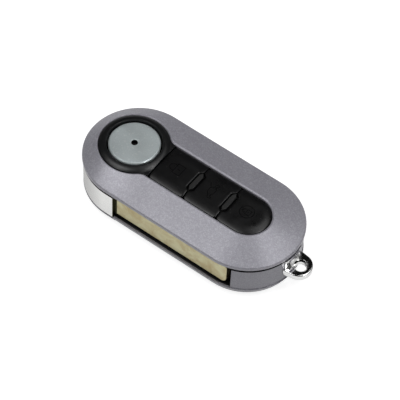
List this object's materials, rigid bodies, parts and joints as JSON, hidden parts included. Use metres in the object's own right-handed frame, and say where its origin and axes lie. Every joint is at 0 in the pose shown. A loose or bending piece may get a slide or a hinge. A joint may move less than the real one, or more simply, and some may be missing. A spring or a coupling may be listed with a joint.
{
  "type": "folding remote car key",
  "caption": "Folding remote key with a grey case, round release button, push buttons and a blade that swings out of the side.",
  "frame": {"origin": "on the blade's pivot axis, in the plane of the flat back that the key rests on", "axes": "+X from the pivot to the key ring loop, -Y to the side that the blade lies in and swings out of, +Z from the back to the push buttons"},
  "size_m": [0.0765, 0.033, 0.0183],
  "materials": {
    "metallic_grey": "metallic grey paint under clear lacquer",
    "soft_black": "fine-grained black moulding",
    "button_black": "soft-touch black",
    "chrome_plate": "bright plated casting",
    "satin_metal": "satin with fine scratches",
    "brass": "milled uncut blank",
    "spring_steel": "drawn wire",
    "screw_steel": "zinc plated",
    "contact_metal": "nickel plated strip",
    "cell_steel": "brushed can",
    "grey_rubber": "silicone",
    "green_board": "solder mask",
    "chip_black": "moulded epoxy",
    "switch_body": "moulded housing"
  },
  "bodies": {
    "case": {"upper_cover": "metallic_grey", "side_band": "metallic_grey", "lower_cover": "metallic_grey", "button_bezel": "soft_black", "inner_frame": "soft_black", "key_ring_loop": "chrome_plate", "keypad_membrane": "grey_rubber", "circuit_board": "green_board", "lock_switch": "switch_body", "boot_switch": "switch_body", "unlock_switch": "switch_body", "remote_chip": "chip_black", "crystal": "cell_steel", "transponder_chip": "chip_black", "coin_cell": "cell_steel", "battery_tray": "soft_black", "tray_latch": "screw_steel", "battery_contact_top": "contact_metal", "battery_contact_side": "contact_metal", "case_screws": "screw_steel"},
    "blade": {"blade": "brass", "blade_head": "chrome_plate", "blade_pin": "screw_steel", "flip_spring": "spring_steel"},
    "release_button": {"release_button": "satin_metal"},
    "lock_button": {"lock_button": "button_black"},
    "boot_button": {"boot_button": "button_black"},
    "unlock_button": {"unlock_button": "button_black"}
  },
  "joints": [
    {"name": "blade_flip", "type": "hinge", "parent": "case", "child": "blade", "pos_m": [0, 0, 0.0088], "axis": [0, 0, -1], "range_deg": [0, 180]},
    {"name": "release_press", "type": "slide", "parent": "blade", "child": "release_button", "axis": [0, 0, -1], "range_m": [0, 0.0012], "stiffness_N_per_m": 2500, "deforming": ["flip_spring"]},
    {"name": "lock_press", "type": "slide", "parent": "case", "child": "lock_button", "axis": [0, 0, -1], "range_m": [0, 0.0004], "stiffness_N_per_m": 3000},
    {"name": "boot_press", "type": "slide", "parent": "case", "child": "boot_button", "axis": [0, 0, -1], "range_m": [0, 0.0004], "stiffness_N_per_m": 3000},
    {"name": "unlock_press", "type": "slide", "parent": "case", "child": "unlock_button", "axis": [0, 0, -1], "range_m": [0, 0.0004], "stiffness_N_per_m": 3000}
  ]
}
